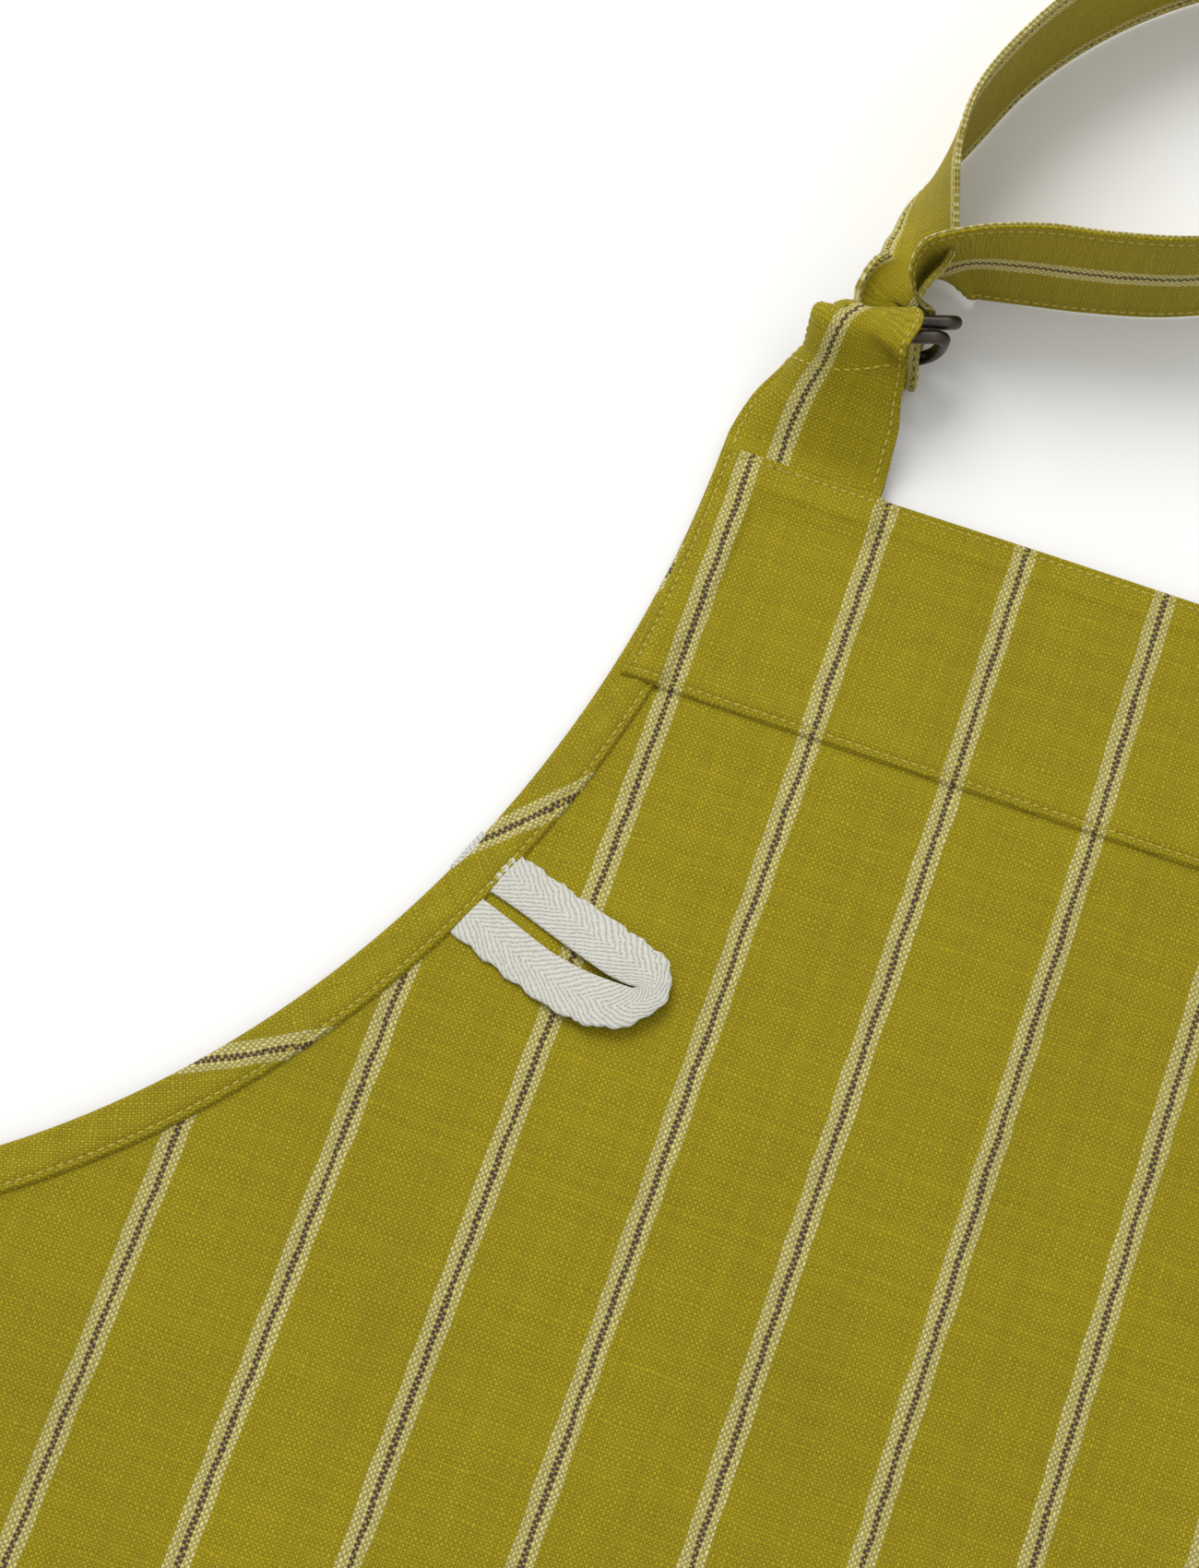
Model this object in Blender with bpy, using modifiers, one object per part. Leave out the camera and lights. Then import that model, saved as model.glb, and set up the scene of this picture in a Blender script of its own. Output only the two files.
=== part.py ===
"""Bib apron of striped canvas, lying flat with its inside face up.

The parts are the panel with its folded hems, a deep facing across the bib, a bias facing round each
armhole, a hanging loop of twill tape, a tab that holds two D-rings, a neck strap threaded through
them, and two waist ties. X runs across the apron, Y from the hem to the neck and Z up from the table.
Lengths are in millimetres until they reach a mesh, and heights along Y are counted from the bib's top.
"""

import math

import bmesh
import bpy
from mathutils import Vector

MM = 0.001

# Driving dimensions
STRIPE_REPEAT = 35.0
GAP = 0.3
CLOTH = 0.9

BIB_TOP = 335.0
BIB_WIDTH = 8.5 * STRIPE_REPEAT
APRON_WIDTH = 700.0
APRON_LENGTH = 860.0
ARMHOLE_DEPTH = 257.0
ARMHOLE_STEPS = 28

HEM_TOP = 1.9
SIDE_HEM = 10.0
BOTTOM_HEM = 20.0
HEM_START = 273.0

BIB_FACING_DEPTH = 65.0
BIB_FACING_INSET = 2.5
BIB_FACING_STEPS = 8
BIAS_WIDTH = 10.5
BIAS_INSET = 0.5

STRAP_WIDTH = 40.0
STRAP_THICKNESS = 1.4
STRAP_INSET = 0.5
STRAP_CLEARANCE = 0.4
STRAP_TURN_RADIUS = 3.75
NECK_RISE = 190.0
NECK_SHOULDER = 62.0
NECK_LEFT = -122.3

TAB_LAYER = 1.0
TAB_INSET = 0.25
TAB_REACH = 31.1
TAB_DRIFT = 6.9
RING_WIRE = 3.4
RING_WIDTH = 31.5
RING_HEIGHT = 21.4
RING_CORNER = 2.5
RING_BOW_POWER = 3.2
RING_CENTRE = (-119.42, 31.01)
RING_TURN = math.radians(19.2)
BAR_HEIGHT = 23.0
BAR_SPACING = 4.0
REAR_RING_SHIFT = 3.0
FRONT_RING_LEAN = math.radians(8.0)
REAR_RING_LEAN = math.radians(26.0)

LOOP_THICKNESS = 1.0
LOOP_ROOT = (-164.1, -127.7)
LOOP_TURN = math.radians(-10.2)

TIE_WIDTH = 30.0
TIE_THICKNESS = 1.2
TIE_TOP = 262.0
TIE_OFFSET = 5.0
TIE_END = 850.0
TIE_RETURN = 235.0

# Where each moving piece turns, on its line of sewing
NECK_PIVOT = (0.0, 0.15, 2.6)
LOOP_PIVOT = (-162.3, -127.9, 2.9)
TIE_PIVOT = (350.15, -277.0, 2.5)


def clear_scene():
    """Remove the scene's objects."""
    for item in list(bpy.data.objects):
        bpy.data.objects.remove(item, do_unlink=True)


def material(name, colour, roughness, metallic=0.0):
    """A Principled BSDF material of one colour."""
    result = bpy.data.materials.new(name)
    result.use_nodes = True
    shader = result.node_tree.nodes["Principled BSDF"]
    shader.inputs["Base Color"].default_value = (*colour, 1.0)
    shader.inputs["Roughness"].default_value = roughness
    shader.inputs["Metallic"].default_value = metallic
    result.diffuse_color = (*colour, 1.0)
    return result


def metres(x, y, z):
    """World position of a point given in millimetres, with y counted from the bib's top edge."""
    return Vector((x, y + BIB_TOP, z)) * MM


def place(name, data, finish, collection):
    """Add one named object with its material to the apron's collection."""
    result = bpy.data.objects.new(name, data)
    data.materials.append(finish)
    collection.objects.link(result)
    return result


def set_pivot(item, pivot):
    """Move an object's origin to a joint's axis and leave its shape where it is."""
    point = metres(*pivot)
    for vertex in item.data.vertices:
        vertex.co -= point
    item.location = point


def plate(name, outline, low, high, finish, collection):
    """A flat piece between two heights, as a closed mesh made from its filled outline."""
    curve = bpy.data.curves.new(name, "CURVE")
    curve.dimensions = "2D"
    curve.fill_mode = "BOTH"
    curve.extrude = (high - low) / 2 * MM
    spline = curve.splines.new("POLY")
    spline.points.add(len(outline) - 1)
    for point, (x, y) in zip(spline.points, outline):
        point.co = (x * MM, (y + BIB_TOP) * MM, 0.0, 1.0)
    spline.use_cyclic_u = True
    drawn = bpy.data.objects.new(name + "_outline", curve)
    collection.objects.link(drawn)
    drawn.location.z = (low + high) / 2 * MM
    bpy.context.view_layer.update()
    evaluated = drawn.evaluated_get(bpy.context.evaluated_depsgraph_get())
    mesh = bpy.data.meshes.new_from_object(evaluated)
    mesh.transform(drawn.matrix_world)
    bpy.data.objects.remove(drawn, do_unlink=True)
    work = bmesh.new()
    work.from_mesh(mesh)
    bmesh.ops.remove_doubles(work, verts=work.verts, dist=0.00001)
    bmesh.ops.recalc_face_normals(work, faces=work.faces)
    work.to_mesh(mesh)
    work.free()
    mesh.name = name
    mesh.materials.clear()
    return place(name, mesh, finish, collection)


def box_outline(left, right, bottom, top):
    """Corners of an upright rectangle."""
    return [(left, bottom), (right, bottom), (right, top), (left, top)]


def join_plates(base, extras):
    """Unite overlapping plates into one closed body."""
    for number, extra in enumerate(extras):
        union = base.modifiers.new("union_%d" % number, "BOOLEAN")
        union.operation = "UNION"
        union.object = extra
    bpy.context.view_layer.update()
    evaluated = base.evaluated_get(bpy.context.evaluated_depsgraph_get())
    joined = bpy.data.meshes.new_from_object(evaluated)
    base.modifiers.clear()
    joined.name = base.name
    base.data = joined
    for extra in extras:
        bpy.data.objects.remove(extra, do_unlink=True)
    return base


def through(stations, steps):
    """Catmull-Rom curve through stations of any number of values, with even steps between them."""
    ends = [stations[0], *stations, stations[-1]]
    result = []
    for index in range(len(stations) - 1):
        before, start, end, after = ends[index:index + 4]
        for step in range(steps):
            t = step / steps
            values = []
            for a, b, c, d in zip(before, start, end, after):
                bend = 2 * b + (c - a) * t + (2 * a - 5 * b + 4 * c - d) * t * t
                values.append((bend + (3 * b - a - 3 * c + d) * t ** 3) / 2)
            result.append(tuple(values))
    result.append(tuple(stations[-1]))
    return result


def ribbon(name, stations, thickness, finish, collection):
    """A strap of cloth through stations of x, y, z, the direction across it, and its width."""
    work = bmesh.new()
    rows = []
    for x, y, z, across_x, across_y, across_z, width in stations:
        across = Vector((across_x, across_y, across_z)).normalized() * (width / 2 * MM)
        centre = metres(x, y, z)
        rows.append([work.verts.new(centre + across * side) for side in (-1.0, 0.0, 1.0)])
    for row, following in zip(rows, rows[1:]):
        for side in (0, 1):
            work.faces.new((row[side], row[side + 1], following[side + 1], following[side]))
    bmesh.ops.recalc_face_normals(work, faces=work.faces)
    mesh = bpy.data.meshes.new(name)
    work.to_mesh(mesh)
    work.free()
    result = place(name, mesh, finish, collection)
    shell = result.modifiers.new("thickness", "SOLIDIFY")
    shell.thickness = thickness * MM
    shell.offset = 0.0
    return result


def armhole_point(angle, inset=0.0, side=-1.0):
    """Point on the armhole's quarter ellipse, moved inwards along its normal by the inset."""
    reach = (APRON_WIDTH - BIB_WIDTH) / 2
    x = BIB_WIDTH / 2 + reach * (1.0 - math.cos(angle))
    y = -ARMHOLE_DEPTH * math.sin(angle)
    normal = Vector((-ARMHOLE_DEPTH * math.cos(angle), -reach * math.sin(angle))).normalized()
    return side * (x + normal.x * inset), y + normal.y * inset


def body_panel(finish, collection):
    """The whole cloth panel, with double hems down its sides and along its foot."""
    half = APRON_WIDTH / 2
    angles = [math.pi / 2 * step / ARMHOLE_STEPS for step in range(ARMHOLE_STEPS + 1)]
    outline = [armhole_point(angle, side=1.0) for angle in angles]
    outline += [(half, -APRON_LENGTH), (-half, -APRON_LENGTH)]
    outline += [armhole_point(angle) for angle in reversed(angles)]
    panel = plate("body_panel", outline, 0.0, CLOTH, finish, collection)
    hems = []
    for name, left, right, top in (
        ("foot", -half, half, -APRON_LENGTH + BOTTOM_HEM),
        ("left", -half, -half + SIDE_HEM, -HEM_START),
        ("right", half - SIDE_HEM, half, -HEM_START),
    ):
        outline = box_outline(left, right, -APRON_LENGTH, top)
        hems.append(plate("hem_" + name, outline, CLOTH / 2, HEM_TOP, finish, collection))
    return join_plates(panel, hems)


def bib_facing(finish, collection):
    """Deep band of cloth sewn across the inside of the bib; its sides follow the armholes."""
    last = math.asin(BIB_FACING_DEPTH / ARMHOLE_DEPTH)
    angles = [last * step / BIB_FACING_STEPS for step in range(BIB_FACING_STEPS + 1)]
    right = [armhole_point(angle, BIB_FACING_INSET, 1.0)[0] for angle in angles]
    down = [-ARMHOLE_DEPTH * math.sin(angle) for angle in angles]
    outline = list(zip(right, down)) + [(-x, y) for x, y in zip(right[::-1], down[::-1])]
    low = CLOTH + GAP
    return plate("bib_facing", outline[::-1], low, low + CLOTH, finish, collection)


def armhole_facing(name, side, finish, collection):
    """Bias strip round one armhole, from the bib facing to the side edge."""
    start = math.asin((BIB_FACING_DEPTH + GAP) / ARMHOLE_DEPTH)
    angles = [start + (math.pi / 2 - start) * step / ARMHOLE_STEPS for step in range(ARMHOLE_STEPS + 1)]
    outer = [armhole_point(angle, BIAS_INSET, side) for angle in angles]
    inner = [armhole_point(angle, BIAS_INSET + BIAS_WIDTH, side) for angle in angles]
    inner[0] = (inner[0][0], outer[0][1])
    low = CLOTH + GAP
    return plate(name, outer + inner[::-1], low, low + CLOTH, finish, collection)


def loop_point(along, across):
    """Point of the hanging loop, measured from the middle of its sewn root."""
    x = LOOP_ROOT[0] + along * math.cos(LOOP_TURN) - across * math.sin(LOOP_TURN)
    y = LOOP_ROOT[1] + along * math.sin(LOOP_TURN) + across * math.cos(LOOP_TURN)
    return x, y


def hanging_loop(finish, collection):
    """Twill tape laid out as two legs with a slit between them, joined at the folded tip."""
    upper = through([(4.3, 12.3), (12.0, 11.4), (32.0, 8.9), (42.0, 7.4), (47.6, 4.4)], 3)
    tip = [(47.5, -4.3)]
    lower = through([(44.3, -10.4), (40.8, -13.5), (35.2, -15.9), (29.2, -16.4), (9.5, -14.0), (-0.3, -11.9)], 3)
    slit_low = through([(2.0, -1.7), (9.8, -2.9), (17.5, -4.3), (26.1, -4.8), (33.9, -4.2), (39.0, -3.4)], 2)
    slit_top = through([(39.0, -2.4), (33.4, -1.9), (24.6, -0.9), (15.4, 0.0), (8.0, 0.9), (2.7, 1.2)], 2)
    outline = [loop_point(*point) for point in upper + tip + lower + slit_low + slit_top]
    low = CLOTH + GAP
    result = plate("hanging_loop", outline[::-1], low, low + LOOP_THICKNESS, finish, collection)
    set_pivot(result, LOOP_PIVOT)


def ring_point(along, back, height):
    """Point beside the rings: along their bars, back towards the neck, and up."""
    x = RING_CENTRE[0] + along * math.cos(RING_TURN) - back * math.sin(RING_TURN)
    y = RING_CENTRE[1] + along * math.sin(RING_TURN) + back * math.cos(RING_TURN)
    return x, y, height


def ring_outline():
    """Centre line of a D-ring from its bar: small corners, then a bow that hangs below it."""
    half = (RING_WIDTH - RING_WIRE) / 2
    drop = RING_HEIGHT - RING_WIRE
    quarter = math.pi / 2
    right = []
    for step in range(5):
        angle = quarter * step / 4
        across = half - RING_CORNER + RING_CORNER * math.sin(angle)
        right.append((across, -RING_CORNER * (1.0 - math.cos(angle))))
    for step in range(1, 12):
        angle = quarter * step / 12
        across = half * math.cos(angle) ** (2.0 / RING_BOW_POWER)
        down = (drop - RING_CORNER) * math.sin(angle) ** (2.0 / RING_BOW_POWER)
        right.append((across, -RING_CORNER - down))
    left = [(-across, down) for across, down in reversed(right)]
    return right + [(0.0, -drop)] + left


def d_ring(name, shift, back, lean, finish, collection):
    """Wire D-ring hanging from its straight bar, which is the line that it turns on."""
    curve = bpy.data.curves.new(name, "CURVE")
    curve.dimensions = "3D"
    curve.bevel_depth = RING_WIRE / 2 * MM
    curve.bevel_resolution = 3
    spline = curve.splines.new("POLY")
    outline = ring_outline()
    spline.points.add(len(outline) - 1)
    for point, (across, down) in zip(spline.points, outline):
        point.co = (across * MM, -down * math.sin(lean) * MM, down * math.cos(lean) * MM, 1.0)
    spline.use_cyclic_u = True
    result = place(name, curve, finish, collection)
    result.location = metres(*ring_point(shift, back, BAR_HEIGHT))
    result.rotation_euler.z = RING_TURN
    return result


def tab_station(back, height, width):
    """Station of the neck tab at a distance from the bib's edge, turning towards the rings' line."""
    share = back / TAB_REACH
    turn = RING_TURN * min(share, 1.0)
    x = -BIB_WIDTH / 2 + STRAP_WIDTH / 2 + TAB_INSET + TAB_DRIFT * share ** 1.6
    return x, back + GAP, height, math.cos(turn), math.sin(turn), 0.0, width


def ring_station(along, back, height, width):
    """Station of a strap that lies across the rings' line."""
    return (*ring_point(along, back, height), math.cos(RING_TURN), math.sin(RING_TURN), 0.0, width)


def neck_tab(finish, collection):
    """Tab sewn into the bib's top: up over the ring bars, round them, and back underneath."""
    rise = [(0.0, 2.1, 40.0), (4.0, 3.2, 39.5), (10.0, 7.4, 36.0), (17.0, 13.6, 30.0), (23.0, 19.2, 24.5)]
    fold = [(-4.5, 23.6), (-2.4, 25.3), (0.0, 25.75), (3.6, 25.75), (5.7, 25.0), (6.65, 23.2), (6.0, 21.2)]
    fold += [(4.0, 20.3), (0.0, 20.2), (-4.5, 19.6)]
    descent = [(23.6, 17.6, 24.5), (17.8, 12.3, 30.0), (10.8, 6.1, 36.0), (4.3, 1.8, 39.5), (0.0, 0.8, 40.0)]
    stations = [tab_station(*point) for point in rise]
    stations += [ring_station(0.9, back, height, 18.6) for back, height in fold]
    stations += [tab_station(*point) for point in descent]
    set_pivot(ribbon("neck_tab", through(stations, 3), TAB_LAYER, finish, collection), NECK_PIVOT)


def neck_arc(angle):
    """Centre of the neck strap on its half ellipse, where it stands on its edge."""
    right = BIB_WIDTH / 2 - STRAP_WIDTH / 2 - STRAP_INSET
    centre = (right + NECK_LEFT) / 2
    x = centre + (right - NECK_LEFT) / 2 * math.cos(angle)
    y = NECK_SHOULDER + (NECK_RISE - STRAP_THICKNESS / 2 - NECK_SHOULDER) * math.sin(angle)
    return x, y


def neck_strap(finish, collection):
    """Strap from the bib's right corner, on edge round the neck, through the rings and back."""
    right = neck_arc(0.0)[0]
    flat = STRAP_CLEARANCE + STRAP_THICKNESS / 2
    upright = STRAP_CLEARANCE + STRAP_WIDTH / 2
    sewn = [(right, GAP, flat, -1.0, 0.0, 0.0, STRAP_WIDTH)]
    for y, lift in ((14.0, 0.0), (28.0, 18.0), (44.0, 48.0), (62.0, 76.0)):
        angle = math.radians(lift)
        height = flat + STRAP_WIDTH / 2 * math.sin(angle)
        sewn.append((right, y, height, -math.cos(angle), 0.0, math.sin(angle), STRAP_WIDTH))
    arc = []
    for degrees in range(8, 166, 12):
        x, y = neck_arc(math.radians(degrees))
        arc.append((x, y, upright, 0.0, 0.0, 1.0, STRAP_WIDTH))
    down = [
        (-122.4, 79.0, 19.6, 0.40, -0.05, 0.91, 38.0),
        (-124.4, 66.0, 17.6, 0.75, 0.0, 0.66, 31.0),
        (-125.2, 54.5, 15.6, 0.92, 0.20, 0.33, 23.0),
    ]
    loading = [(0.25, 14.5, 15.2), (0.25, 10.0, 14.2), (0.35, 5.0, 11.2)]
    turn = []
    for step in range(7):
        angle = math.pi / 2 + math.pi * step / 6
        back = 0.2 + STRAP_TURN_RADIUS * math.cos(angle)
        turn.append((0.75, back, 5.45 + STRAP_TURN_RADIUS * math.sin(angle)))
    passing = [(1.75, 3.5, 1.75), (2.55, 6.6, 5.7), (2.75, 9.8, 10.4), (2.75, 13.4, 11.9)]
    rings = [ring_station(*point, 16.0) for point in loading + turn + passing]
    tail = [
        (-119.8, 51.5, 10.7, 0.88, 0.10, 0.46, 20.0),
        (-113.5, 57.5, 12.6, 0.55, -0.45, 0.70, 28.0),
        (-104.0, 61.5, 17.0, 0.15, -0.30, 0.94, 35.0),
        (-92.0, 64.2, upright, 0.0, 0.0, 1.0, STRAP_WIDTH),
        (-76.0, 67.2, upright, 0.0, 0.0, 1.0, STRAP_WIDTH),
        (-58.0, 72.2, upright, 0.0, 0.0, 1.0, STRAP_WIDTH),
        (-40.0, 80.5, upright, 0.0, 0.0, 1.0, STRAP_WIDTH),
    ]
    stations = through(sewn + arc + down + rings + tail, 3)
    set_pivot(ribbon("neck_strap", stations, STRAP_THICKNESS, finish, collection), NECK_PIVOT)


def waist_tie(name, side, finish, collection):
    """Tie from the side edge, turned down beside the skirt and folded back on itself."""
    root = APRON_WIDTH / 2 + GAP
    middle = APRON_WIDTH / 2 + TIE_OFFSET + TIE_WIDTH / 2
    top = -TIE_TOP - TIE_WIDTH / 2
    low = TIE_THICKNESS / 2
    bend = (TIE_THICKNESS + GAP) / 2
    corner = math.sqrt(0.5)
    run = [
        (root, top, low, 0.0, -1.0, 0.0, TIE_WIDTH),
        (middle, top, low, -corner, -corner, 0.0, TIE_WIDTH / corner),
        (middle, -TIE_TOP - TIE_WIDTH - GAP, low, -1.0, 0.0, 0.0, TIE_WIDTH),
    ]
    for step in range(7):
        angle = math.pi * step / 6
        y = -TIE_END - bend * math.sin(angle)
        run.append((middle, y, low + bend * (1.0 - math.cos(angle)), -1.0, 0.0, 0.0, TIE_WIDTH))
    run.append((middle, -TIE_END + TIE_RETURN, low + 2.0 * bend, -1.0, 0.0, 0.0, TIE_WIDTH))
    stations = [(side * x, y, z, side * across_x, *rest) for x, y, z, across_x, *rest in run]
    x, y, z = TIE_PIVOT
    set_pivot(ribbon(name, stations, TIE_THICKNESS, finish, collection), (side * x, y, z))


def build():
    """Make every part of the apron."""
    clear_scene()
    collection = bpy.data.collections.new("bib_apron")
    bpy.context.scene.collection.children.link(collection)
    canvas = material("canvas", (0.42, 0.36, 0.03), 0.85)
    facing = material("facing_canvas", (0.44, 0.38, 0.035), 0.85)
    bias = material("bias_canvas", (0.40, 0.34, 0.03), 0.85)
    strap = material("strap_canvas", (0.43, 0.37, 0.03), 0.85)
    tape = material("twill_tape", (0.80, 0.78, 0.70), 0.9)
    metal = material("ring_metal", (0.045, 0.035, 0.03), 0.35, 1.0)
    body_panel(canvas, collection)
    bib_facing(facing, collection)
    armhole_facing("armhole_facing_left", -1.0, bias, collection)
    armhole_facing("armhole_facing_right", 1.0, bias, collection)
    hanging_loop(tape, collection)
    neck_tab(strap, collection)
    neck_strap(strap, collection)
    d_ring("ring_front", 0.0, 0.0, FRONT_RING_LEAN, metal, collection)
    d_ring("ring_rear", REAR_RING_SHIFT, BAR_SPACING, REAR_RING_LEAN, metal, collection)
    waist_tie("waist_tie_left", -1.0, strap, collection)
    waist_tie("waist_tie_right", 1.0, strap, collection)


build()
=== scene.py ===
"""Looks of the striped canvas apron: woven cloth, folded edges, stitching, twill tape and rings.

Lengths are in millimetres until they reach a mesh. A piece's y is counted from the bib's top edge, and
each cloth piece carries a UV map named cloth, counted in stripe repeats across and along the warp.
"""

import math

import bpy
import numpy as np
from mathutils import Matrix, Vector


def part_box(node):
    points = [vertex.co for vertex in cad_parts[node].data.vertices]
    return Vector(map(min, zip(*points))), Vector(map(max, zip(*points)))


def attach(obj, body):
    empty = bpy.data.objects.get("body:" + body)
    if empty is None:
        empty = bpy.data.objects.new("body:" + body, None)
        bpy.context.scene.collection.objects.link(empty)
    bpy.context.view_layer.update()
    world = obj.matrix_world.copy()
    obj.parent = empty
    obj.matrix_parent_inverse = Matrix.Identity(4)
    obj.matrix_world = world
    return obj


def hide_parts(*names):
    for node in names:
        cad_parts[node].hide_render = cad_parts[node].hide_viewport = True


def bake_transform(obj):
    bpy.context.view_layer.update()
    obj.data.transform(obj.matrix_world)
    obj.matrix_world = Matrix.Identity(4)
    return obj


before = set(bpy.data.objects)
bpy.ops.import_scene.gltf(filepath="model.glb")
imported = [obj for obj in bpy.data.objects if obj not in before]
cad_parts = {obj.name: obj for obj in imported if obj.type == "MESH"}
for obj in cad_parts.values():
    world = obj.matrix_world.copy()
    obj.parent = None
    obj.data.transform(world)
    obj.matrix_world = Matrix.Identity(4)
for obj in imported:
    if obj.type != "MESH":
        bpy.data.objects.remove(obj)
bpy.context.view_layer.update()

MM = 0.001

# The cloth: one stripe repeat, its threads across and along, and the stripe's place among the warps.
REPEAT = 35.0
WARPS = 54
WEFTS = 47
STRIPE_MIDDLE = 26.2
CREAM_REACH = 4.6
DARK_REACH = 0.9
CREAM = (0.54, 0.49, 0.205)
DARK = (0.060, 0.036, 0.034)
WARP_COLOUR = (0.352, 0.286)
WEFT_COLOUR = (0.258, 0.209, 0.002)
STRAP_WARP_COLOUR = (0.346, 0.281, 0.004)
STRAP_WEFT_COLOUR = (0.253, 0.205, 0.002)

# The tape's ribs along its length and towards its edges, and its threads, all in a stripe repeat.
RIBS_ALONG = 19.0
RIB_SLANT = 25.0
TAPE_WARPS = 45.0
TAPE_WEFTS = 38.0


def node_box(node):
    """A node's lowest and highest corner in millimetres."""
    low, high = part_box(node)
    return np.array(low) / MM, np.array(high) / MM


PANEL_LOW, PANEL_HIGH = node_box("body_panel")
FACING_LOW = node_box("bib_facing")[0]
STRAP_HIGH = node_box("neck_strap")[1]
TIE_LOW, TIE_HIGH = node_box("waist_tie_right")
BIB_TOP = PANEL_HIGH[1]
HALF_WIDTH = PANEL_HIGH[0]
LENGTH = BIB_TOP - PANEL_LOW[1]
FACING_DEPTH = BIB_TOP - FACING_LOW[1]
HALF_BIB = 4.25 * REPEAT
FACING_INSET = 2.5
FACING_HALF = HALF_BIB - FACING_INSET
BIAS_WIDTH = 11.0
ARMHOLE_DEPTH = BIB_TOP - node_box("armhole_facing_left")[0][1] - BIAS_WIDTH

# Thicknesses, hems and strips.
CLOTH = 0.6
PANEL_TOP = 0.75
STRAP_PLY = 1.5
TAB_PLY = 1.5
TIE_PLY = 1.3
TAPE_PLY = 0.8
TAPE_WIDTH = 12.0
STRAP_WIDTH = 40.0
TIE_WIDTH = 30.0
SIDE_HEM = 10.0
FOOT_HEM = 20.0
BIAS_ANGLE = math.radians(25.0)

# Stitching: how far in from the folds of the facing, of strips and hems, and of straps it runs.
EDGE_STITCH = 2.1
FOLD_STITCH = 1.7
STRAP_STITCH = 2.4
STITCH_PITCH = 2.4
STITCH_LENGTH = 1.95
STITCH_DENT = 0.42
STITCH_SINK = 0.16
THREAD = 0.60

# Where the straps are sewn in, the rings, and the neck strap's half ellipse.
STEPS = 6
TAB_ROOT = -HALF_BIB + STRAP_WIDTH / 2 + 0.25
STRAP_ROOT = HALF_BIB - STRAP_WIDTH / 2 - 0.5
SEWN_UNDER = -9.0
RING_CENTRE = (-119.42, 31.01)
RING_TURN = math.radians(19.2)
RING_WIRE = 3.4
RING_WIDTH = 31.5
RING_HEIGHT = 21.4
RING_CORNER = 2.5
RING_BOW_POWER = 3.2
BAR_HEIGHT = 23.0
BAR_SPACING = 4.0
REAR_RING_SHIFT = 3.0
FRONT_LEAN = math.radians(8.0)
REAR_LEAN = math.radians(26.0)
NECK_SHOULDER = 62.0
NECK_LEFT = -122.3


# ---------------------------------------------------------------- materials

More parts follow.
